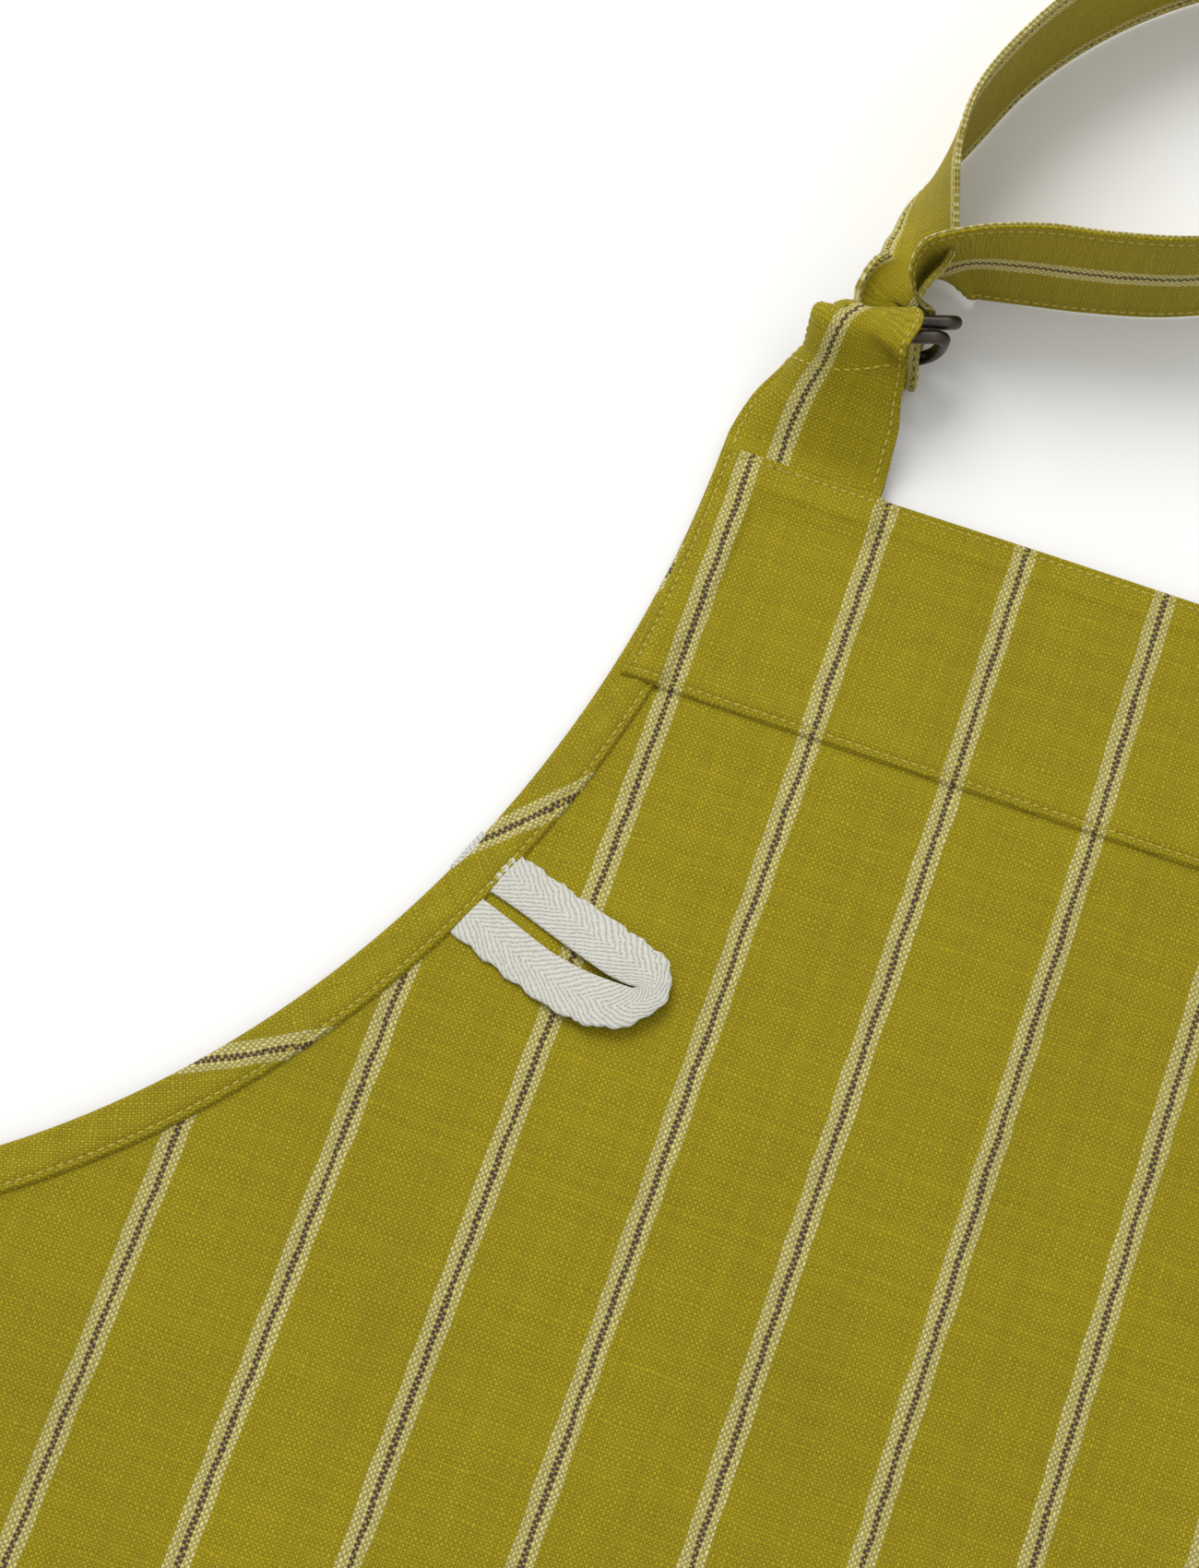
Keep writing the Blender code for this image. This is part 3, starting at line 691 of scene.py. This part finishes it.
def strap(name, stations, ply, material, cloth_shift=0.0, full=STRAP_WIDTH, back_shift=0.0):
    """A sewn strap of cloth, soft edged, with its sides curled down where its stations say so.

    A station holds x, y, z, the direction across, the cloth's width there, and how far its left and
    right sides curl down, in radians. The shifts move the stripe, in repeats: the whole cloth, and the
    back face by station. Returns the object and two ways to get a line on its face.
    """
    stations = np.array(stations, float)
    centres = stations[:, :3]
    along = lengths(centres)
    tangent = np.gradient(centres, axis=0)
    tangent /= np.linalg.norm(tangent, axis=1)[:, None]
    across = stations[:, 3:6] - np.sum(stations[:, 3:6] * tangent, axis=1)[:, None] * tangent
    across /= np.linalg.norm(across, axis=1)[:, None]
    up = np.cross(across, tangent)
    section, thick = strap_section(full, ply, STRAP_STITCH)
    points, cloth = [], []
    for index, station in enumerate(stations):
        width = station[6]
        side, rise, slope = bent(section * width / full, width, station[7], station[8])
        side -= np.sin(slope) * thick
        rise += np.cos(slope) * thick
        outline = centres[index] + side[:, None] * across[index] + rise[:, None] * up[index]
        outline[:, 2] = np.maximum(outline[:, 2], 0.0)
        points.append(outline)
        cloth.append(np.stack([section, np.full_like(section, along[index])], axis=1) / REPEAT)
    ring = len(section)
    faces = [face[::-1] for face in grid_faces(len(stations), ring, True)]
    faces.append(tuple(range(ring)))
    total = len(stations) * ring
    faces.append(tuple(range(total - 1, total - ring - 1, -1)))
    cloth = np.concatenate(cloth)
    cloth[:, 0] += cloth_shift
    shifts = np.broadcast_to(back_shift, len(stations))
    cloth[:, 0] += np.repeat(np.stack([0.0 * shifts, shifts], axis=1), ring // 2)
    item = add_mesh(name, np.concatenate(points), faces, cloth, material)

    def spot(index, offset, face):
        """A place on one face at a station, and the direction out of the cloth there."""
        width = stations[index, 6]
        side, rise, slope = bent(np.array([offset * width / full]), width, *stations[index, 7:9])
        normal = math.cos(slope[0]) * up[index] - math.sin(slope[0]) * across[index]
        point = centres[index] + side[0] * across[index] + rise[0] * up[index]
        return point + normal * face * (ply / 2 - STITCH_SINK), normal * face

    def on_face(offset, first=0.0, last=1.0, face=1.0):
        """A line along the strap at an offset from its middle, between two shares of its length."""
        kept = np.flatnonzero((along >= first * along[-1]) & (along <= last * along[-1]))
        line, outward = zip(*(spot(index, offset, face) for index in kept))
        return np.array(line), np.array(outward)

    def across_face(first, last, reach, face=1.0):
        """A line across the strap, from one share of its length at the left to another at the right."""
        line, outward = [], []
        for offset in np.linspace(-reach, reach, 40):
            share = first + (last - first) * (offset + reach) / (2.0 * reach)
            index = np.interp(share * along[-1], along, np.arange(len(along)))
            low, part = int(index), index % 1.0
            near, far = spot(low, offset, face), spot(low + 1, offset, face)
            line.append(near[0] * (1.0 - part) + far[0] * part)
            outward.append(near[1] * (1.0 - part) + far[1] * part)
        return np.array(line), np.array(outward)

    return item, on_face, across_face


def ring_point(along, back, height):
    """Point beside the rings: along their bars, back towards the neck, and up."""
    x = RING_CENTRE[0] + along * math.cos(RING_TURN) - back * math.sin(RING_TURN)
    y = RING_CENTRE[1] + along * math.sin(RING_TURN) + back * math.cos(RING_TURN)
    return x, y, height


def ring_outline():
    """Centre line of a D-ring from its bar: small corners, then a bow that hangs below it."""
    half = (RING_WIDTH - RING_WIRE) / 2
    drop = RING_HEIGHT - RING_WIRE
    turn = np.linspace(0.0, math.pi / 2, 9)
    corner_x = half - RING_CORNER + RING_CORNER * np.sin(turn)
    corner_y = -RING_CORNER * (1.0 - np.cos(turn))
    sweep = np.linspace(0.0, math.pi / 2, 25)[1:]
    bow_x = half * np.cos(sweep).clip(0.0) ** (2.0 / RING_BOW_POWER)
    bow_y = -RING_CORNER - (drop - RING_CORNER) * np.sin(sweep) ** (2.0 / RING_BOW_POWER)
    right = list(zip(np.concatenate([corner_x, bow_x]), np.concatenate([corner_y, bow_y])))
    return right + [(-x, y) for x, y in reversed(right[:-1])]


def d_ring(name, node, body, shift, back, lean, material):
    """Wire D-ring that hangs from its straight bar."""
    curve = bpy.data.curves.new(name, "CURVE")
    curve.dimensions = "3D"
    curve.bevel_depth = RING_WIRE / 2 * MM
    curve.bevel_resolution = 8
    outline = ring_outline()
    spline = curve.splines.new("POLY")
    spline.points.add(len(outline) - 1)
    for point, (x, y) in zip(spline.points, outline):
        point.co = (x * MM, -y * math.sin(lean) * MM, y * math.cos(lean) * MM, 1.0)
    spline.use_cyclic_u = True
    curve.materials.append(material)
    item = bpy.data.objects.new(name, curve)
    bpy.context.scene.collection.objects.link(item)
    x, y, z = ring_point(shift, back, BAR_HEIGHT)
    item.location = (x * MM, (y + BIB_TOP) * MM, z * MM)
    item.rotation_euler.z = RING_TURN
    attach(item, body)
    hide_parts(node)
    return item


def leaning(x, y, z, turn, roll, *rest):
    """Station whose across direction is turned in plan and then rolled, its right side up."""
    turn, roll = math.radians(turn), math.radians(roll)
    across = (math.cos(turn) * math.cos(roll), math.sin(turn) * math.cos(roll), math.sin(roll))
    return (x, y, z, *across, *rest)


def ring_station(along, back, height, width, left=0.0, right=0.0):
    """Station of a strap that lies across the rings' line."""
    across = (math.cos(RING_TURN), math.sin(RING_TURN), 0.0)
    return (*ring_point(along, back, height), *across, width, left, right)


def neck_tab(material):
    """Tab sewn into the bib's top: up over the ring bars, round them, and back underneath."""
    rise = [
        (TAB_ROOT, SEWN_UNDER, 2.6, 0.0, 0.0, STRAP_WIDTH, 0.0, 0.0),
        (TAB_ROOT, -3.0, 2.6, 0.0, 0.0, STRAP_WIDTH, 0.0, 0.0),
        (TAB_ROOT, 0.0, 2.7, 0.0, 0.0, STRAP_WIDTH, 0.0, 0.0),
        (-128.6, 4.3, 3.7, 1.0, 1.0, 40.0, 0.4, 0.0),
        (-128.5, 10.3, 7.6, 3.0, 4.0, 39.0, 1.1, 0.1),
        (-127.8, 16.3, 12.6, 6.0, 8.0, 36.5, 1.8, 0.3),
        (-126.9, 21.4, 18.0, 10.0, 8.0, 31.0, 2.2, 0.4),
        (-126.8, 25.2, 22.9, 16.0, 5.0, 28.5, 2.0, 0.3),
    ]
    stations = [leaning(*point) for point in rise]
    fold = [
        (-7.2, 0.0, 26.1, 28.5, 1.75, 0.3),
        (-4.8, 2.6, 26.2, 25.5, 1.5, 0.2),
        (-2.0, 5.0, 25.4, 22.5, 1.1, 0.1),
        (-2.0, 6.6, 23.6, 17.5, 0.3, 0.0),
        (-2.8, 6.2, 21.3, 15.5, -0.3, -0.1),
        (-2.5, 4.0, 20.0, 13.8, -0.4, -0.2),
        (-2.5, 0.0, 19.8, 13.8, -0.5, -0.2),
        (-3.4, -4.5, 18.4, 17.0, -0.6, -0.2),
    ]
    stations += [ring_station(*point) for point in fold]
    descent = [
        (-125.8, 20.5, 13.8, 10.0, 8.0, 25.0, -0.8, -0.3),
        (-127.4, 15.5, 9.2, 6.0, 6.0, 32.0, -0.8, -0.2),
        (-128.3, 10.3, 5.0, 3.0, 3.0, 37.5, -0.5, -0.1),
        (TAB_ROOT, 4.3, 2.0, 0.0, 0.0, STRAP_WIDTH, -0.1, 0.0),
        (TAB_ROOT, 0.0, 1.2, 0.0, 0.0, STRAP_WIDTH, 0.0, 0.0),
        (TAB_ROOT, SEWN_UNDER, 1.1, 0.0, 0.0, STRAP_WIDTH, 0.0, 0.0),
    ]
    stations += [leaning(*point) for point in descent]
    return strap("tab_cloth", through(stations, STEPS), TAB_PLY, material, 6.0 / REPEAT)


def neck_arc(angle):
    """Centre of the neck strap on its half ellipse, where it stands on its edge."""
    centre = (STRAP_ROOT + NECK_LEFT) / 2
    x = centre + (STRAP_ROOT - NECK_LEFT) / 2 * math.cos(angle)
    top = STRAP_HIGH[1] - BIB_TOP - STRAP_PLY / 2
    y = NECK_SHOULDER + (top - NECK_SHOULDER) * math.sin(angle)
    return x, y


def neck_strap(material):
    """Strap from the bib's right corner, on edge round the neck, through the rings and back."""
    flat = 1.3
    upright = 0.4 + STRAP_WIDTH / 2
    plain = (STRAP_WIDTH, 0.0, 0.0)
    on_edge = (0.0, 0.0, 1.0, *plain)
    sewn = [(STRAP_ROOT, y, flat, -1.0, 0.0, 0.0, *plain) for y in (SEWN_UNDER, -3.0, 0.3)]
    for y, lift in ((14.0, 0.0), (28.0, 18.0), (44.0, 48.0), (62.0, 76.0)):
        angle = math.radians(lift)
        height = flat + STRAP_WIDTH / 2 * math.sin(angle)
        sewn.append((STRAP_ROOT, y, height, -math.cos(angle), 0.0, math.sin(angle), *plain))
    arc = []
    for degrees in range(8, 166, 12):
        x, y = neck_arc(math.radians(degrees))
        arc.append((x, y, upright, *on_edge))
    down = [
        (-120.4, 79.0, 20.0, 0.20, 0.0, 0.98, 39.0, 0.2, 0.2),
        (-118.2, 66.0, 18.8, 0.40, 0.0, 0.92, 34.0, 0.6, 0.5),
        (-117.0, 55.0, 16.8, 0.70, 0.18, 0.69, 25.0, 1.3, 0.9),
    ]
    loading = [
        (1.0, 14.5, 15.4, 18.0, 1.5, 1.0),
        (1.4, 10.0, 14.2, 18.0, 1.0, 0.6),
        (1.2, 5.0, 11.4, 17.6, 0.5, 0.5),
    ]
    turn_back, turn_height, turn_radius = 0.2, 5.45, 3.75
    turn = []
    for step in range(7):
        angle = math.pi / 2 + math.pi * step / 6
        back = turn_back + turn_radius * math.cos(angle)
        turn.append((0.9, back, turn_height + turn_radius * math.sin(angle), 17.0, 0.3, 0.5))
    passing = [
        (1.7, 3.5, 1.75, 17.4, 0.1, 0.2),
        (2.55, 6.6, 5.7, 18.0, 0.2, 0.2),
        (2.75, 9.8, 10.4, 18.0, 0.3, 0.3),
        (2.75, 13.4, 11.9, 19.0, 0.3, 0.3),
    ]
    rings = [ring_station(*point) for point in loading + turn + passing]
    tail = [
        (-118.2, 51.3, 11.8, 0.50, -0.55, 0.67, 25.0, 0.4, 0.4),
        (-112.5, 56.2, 16.6, -0.40, -0.20, 0.87, 33.0, 0.2, 0.2),
        (-105.6, 59.7, 19.7, -0.10, -0.08, 0.99, 39.0, 0.1, 0.1),
        (-92.0, 63.2, upright, *on_edge),
        (-76.0, 66.8, upright, *on_edge),
        (-58.0, 72.2, upright, *on_edge),
        (-40.0, 80.5, upright, *on_edge),
    ]
    stations = through(sewn + arc + down + rings + tail, STEPS)
    past_rings = np.arange(len(stations)) - STEPS * (len(stations) // STEPS - len(tail))
    half_repeat = 0.5
    back_shift = half_repeat * smooth(past_rings / (2.0 * STEPS))
    return strap("strap_cloth", stations, STRAP_PLY, material, half_repeat, back_shift=back_shift)


def waist_tie(name, side, node, material):
    """Tie from the side edge, turned down beside the skirt and folded back on itself."""
    root = HALF_WIDTH - 8.0
    middle = (TIE_LOW[0] + TIE_HIGH[0]) / 2 + 2.4
    top = -262.0 - TIE_WIDTH / 2
    before_corner = 12.0
    low = 1.0
    bend = 0.95
    foot = BIB_TOP - TIE_LOW[1] - bend - 0.5
    folded_back = 235.0
    corner = math.sqrt(0.5)
    outwards = (0.0, -1.0, 0.0, TIE_WIDTH, 0.0, 0.0)
    downwards = (-1.0, 0.0, 0.0, TIE_WIDTH, 0.0, 0.0)
    run = [(x, top, low, *outwards) for x in (root, HALF_WIDTH, middle - before_corner)]
    run.append((middle, top, low, -corner, -corner, 0.0, TIE_WIDTH / corner, 0.0, 0.0))
    run += [(middle, y, low, *downwards) for y in np.linspace(top - before_corner, -foot, 40)]
    for step in range(1, 8):
        angle = math.pi * step / 8
        y = -foot - bend * math.sin(angle)
        run.append((middle, y, low + bend * (1.0 - math.cos(angle)), *downwards))
    last_rows = np.linspace(-foot, folded_back - foot, 16)
    run += [(middle, y, low + 2.0 * bend, *downwards) for y in last_rows]
    stations = [(side * x, y, z, side * ax, ay, az, *rest) for x, y, z, ax, ay, az, *rest in run]
    item, on_face = strap(name, stations, TIE_PLY, material, 0.2, full=TIE_WIDTH)[:2]
    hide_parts(node)
    return item, on_face


# ---------------------------------------------------------------- hanging loop

LOOP_ROOT = (-164.1, -127.7)
LOOP_TURN = math.radians(-10.2)

# Outer and inner edge of the tape, along and across from the middle of its root, station by station.
TAPE_PAIRS = [
    ((-8.5, 13.0), (-10.5, 1.9)), ((-3.0, 12.8), (-5.0, 1.6)),
    ((2.6, 12.5), (0.6, 1.3)), ((11.6, 11.4), (8.5, 0.6)), ((20.4, 10.3), (16.0, -0.5)),
    ((31.9, 8.9), (25.5, -1.9)), ((39.0, 7.9), (33.5, -3.0)), ((43.5, 7.0), (38.5, -2.9)),
    ((46.5, 5.0), (40.8, -2.4)), ((48.4, 0.8), (41.6, -2.3)), ((48.2, -4.5), (41.2, -2.6)),
    ((45.5, -9.8), (40.5, -3.0)), ((41.5, -13.5), (39.0, -3.4)), ((36.0, -15.8), (35.0, -4.1)),
    ((29.2, -16.5), (27.5, -4.7)), ((21.4, -15.9), (20.0, -4.4)), ((9.5, -14.0), (9.8, -2.7)),
    ((-2.0, -11.8), (0.2, -1.2)), ((-6.5, -11.0), (-5.0, -0.4)), ((-11.0, -10.2), (-9.5, 0.3)),
]


def loop_point(along, across):
    """Point of the hanging loop, measured from the middle of its sewn root."""
    x = LOOP_ROOT[0] + along * math.cos(LOOP_TURN) - across * math.sin(LOOP_TURN)
    y = LOOP_ROOT[1] + along * math.sin(LOOP_TURN) + across * math.cos(LOOP_TURN)
    return x, y


def hanging_loop(material):
    """Twill tape sewn in at both ends and bent flat into a loop, its tip a little raised."""
    rows = through([(*outer, *inner) for outer, inner in TAPE_PAIRS], STEPS)
    share = np.linspace(0.0, 1.0, 19)
    bow = share * (1.0 - share) * 4.0
    middle = (rows[:, :2] + rows[:, 2:]) / 2
    along = lengths(middle)
    points, cloth = [], []
    for index, row in enumerate(rows):
        local = row[:2] + (row[2:] - row[:2]) * share[:, None]
        frayed = 0.30 * math.sin(along[index] * 0.9) + 0.22 * math.sin(along[index] * 2.3 + 1.0)
        outwards = row[:2] - row[2:]
        local += np.outer((1.0 - share) ** 3 * frayed, outwards) / np.linalg.norm(outwards)
        x, y = loop_point(local[:, 0], local[:, 1])
        tip = smooth((local[:, 0] - 12.0) / 34.0)
        root = 1.0 - smooth((local[:, 0] + 4.0) / 6.0)
        height = panel_top(x, y) + TAPE_PLY + 0.1 + 2.4 * tip + 0.25 * bow - 0.5 * root
        height += 0.25 * tip * np.sin(along[index] / 2.1) * share ** 2
        points.append(np.stack([x, y, height], axis=1))
        across = (share - 0.5) * TAPE_WIDTH
        cloth.append(np.stack([across, np.full_like(across, along[index])], axis=1) / REPEAT)
    item = sheet("loop_tape", np.array(points), np.array(cloth), material, TAPE_PLY)
    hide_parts("hanging_loop")
    return item, along[-1]


# ---------------------------------------------------------------- whole

def across_joint(item):
    """Bake a cloth piece's placement into its mesh."""
    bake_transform(item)


def add_light(name, place, target, size, power, colour):
    light = bpy.data.lights.new(name, "AREA")
    light.shape = "DISK"
    light.size = size
    light.energy = power
    light.color = colour
    item = bpy.data.objects.new(name, light)
    bpy.context.scene.collection.objects.link(item)
    item.location = place
    item.rotation_euler = (Vector(target) - Vector(place)).to_track_quat("-Z", "Y").to_euler()
    return item


def studio():
    """Table, soft light from the upper left, and the camera close above the bib, all in metres."""
    mesh = bpy.data.meshes.new("table")
    half_table = 3.0
    table_level = -0.0006
    steps = np.linspace(-half_table, half_table, 13)
    points = [(x, y, table_level) for y in steps for x in steps]
    mesh.from_pydata(points, [], grid_faces(len(steps), len(steps)))
    mesh.materials.append(table_top())
    table = bpy.data.objects.new("table", mesh)
    bpy.context.scene.collection.objects.link(table)
    world = bpy.data.worlds.new("studio")
    world.use_nodes = True
    sky = world.node_tree.nodes["Background"]
    sky.inputs["Color"].default_value = (1.0, 1.0, 1.0, 1.0)
    sky.inputs["Strength"].default_value = 0.68
    bpy.context.scene.world = world
    bpy.context.scene.view_settings.view_transform = "Standard"
    add_light("window", (-0.9, 1.25, 1.5), (-0.1, 0.15, 0.0), 1.3, 25.0, (1.0, 0.985, 0.96))
    lens = bpy.data.cameras.new("camera")
    lens.lens = 82.1
    lens.sensor_width = 36.0
    lens.sensor_fit = "AUTO"
    lens.clip_start = 0.01
    lens.clip_end = 50.0
    camera = bpy.data.objects.new("camera", lens)
    bpy.context.scene.collection.objects.link(camera)
    place = (-0.0873, -0.0365, 0.7886)
    forward = Vector((-0.0728, 0.3331, -0.9401)).normalized()
    up = Vector((-0.32295, 0.88392, 0.33821))
    right = forward.cross(up).normalized()
    up = right.cross(forward)
    turn = Matrix((right, up, -forward)).transposed()
    camera.matrix_world = Matrix.Translation(place) @ turn.to_4x4()
    bpy.context.scene.camera = camera


studio()
body_canvas = canvas("body_canvas", (*WARP_COLOUR, 0.005), WEFT_COLOUR, 3.0)
facing_canvas = canvas("facing_canvas", (*WARP_COLOUR, 0.006), WEFT_COLOUR, 71.0)
bias_canvas = canvas("bias_canvas", (*WARP_COLOUR, 0.007), WEFT_COLOUR, 157.0)
strap_canvas = canvas("strap_canvas", STRAP_WARP_COLOUR, STRAP_WEFT_COLOUR, 233.0)
thread = sewing_thread()
metal = gun_metal()
tape = twill_tape()

panel = body_panel(body_canvas)
facing = bib_facing(facing_canvas)
left_bias = armhole_facing("left_armhole_strip", -1.0, "armhole_facing_left", 0.56, bias_canvas)[0]
right_bias, bias_length = armhole_facing(
    "right_armhole_strip", 1.0, "armhole_facing_right", 0.37, bias_canvas)
hem_top = -ARMHOLE_DEPTH - 8.0
left_hem, left_hem_seam = hem(
    "left_hem", (-HALF_WIDTH, hem_top), (-HALF_WIDTH, -LENGTH), (1.0, 0.0), SIDE_HEM, body_canvas)
right_hem, right_hem_seam = hem(
    "right_hem", (HALF_WIDTH, hem_top), (HALF_WIDTH, -LENGTH), (-1.0, 0.0), SIDE_HEM, body_canvas)
foot_hem, foot_hem_seam = hem(
    "foot_hem", (-HALF_WIDTH, -LENGTH), (HALF_WIDTH, -LENGTH), (0.0, 1.0), FOOT_HEM, body_canvas)
edge_thread = stitches(
    "edge_stitching",
    facing_seams() + [bias_seam(-1.0), bias_seam(1.0), left_hem_seam, right_hem_seam, foot_hem_seam],
    thread)
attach(edge_thread, "apron")

strap_seam = STRAP_WIDTH / 2 - STRAP_STITCH
tab, tab_face, across_tab = neck_tab(strap_canvas)
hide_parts("neck_tab")
tab_seams = [tab_face(offset, 0.09, 0.5) for offset in (-strap_seam, strap_seam)]
tab_thread = stitches("tab_stitching", tab_seams + [across_tab(0.275, 0.365, strap_seam)], thread)
strap_piece, strap_face = neck_strap(strap_canvas)[:2]
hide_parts("neck_strap")
strap_thread = stitches(
    "strap_stitching",
    [strap_face(side * strap_seam, 0.02, 0.99, face) for side in (-1.0, 1.0) for face in (1.0, -1.0)],
    thread)
for item in (tab, tab_thread, strap_piece, strap_thread):
    across_joint(item)
d_ring("front_d_ring", "ring_front", "front_ring", 0.0, 0.0, FRONT_LEAN, metal)
d_ring("rear_d_ring", "ring_rear", "rear_ring", REAR_RING_SHIFT, BAR_SPACING, REAR_LEAN, metal)

loop, loop_length = hanging_loop(tape)
across_joint(loop)

tie_seam = TIE_WIDTH / 2 - STRAP_STITCH
for side, word in ((-1.0, "left"), (1.0, "right")):
    tie, tie_face = waist_tie(word + "_tie_cloth", side, "waist_tie_" + word, strap_canvas)
    tie_thread = stitches(
        word + "_tie_stitching",
        [tie_face(offset, 0.02, 0.98, face) for offset in (-tie_seam, tie_seam) for face in (1.0, -1.0)],
        thread)
    for item in (tie, tie_thread):
        across_joint(item)
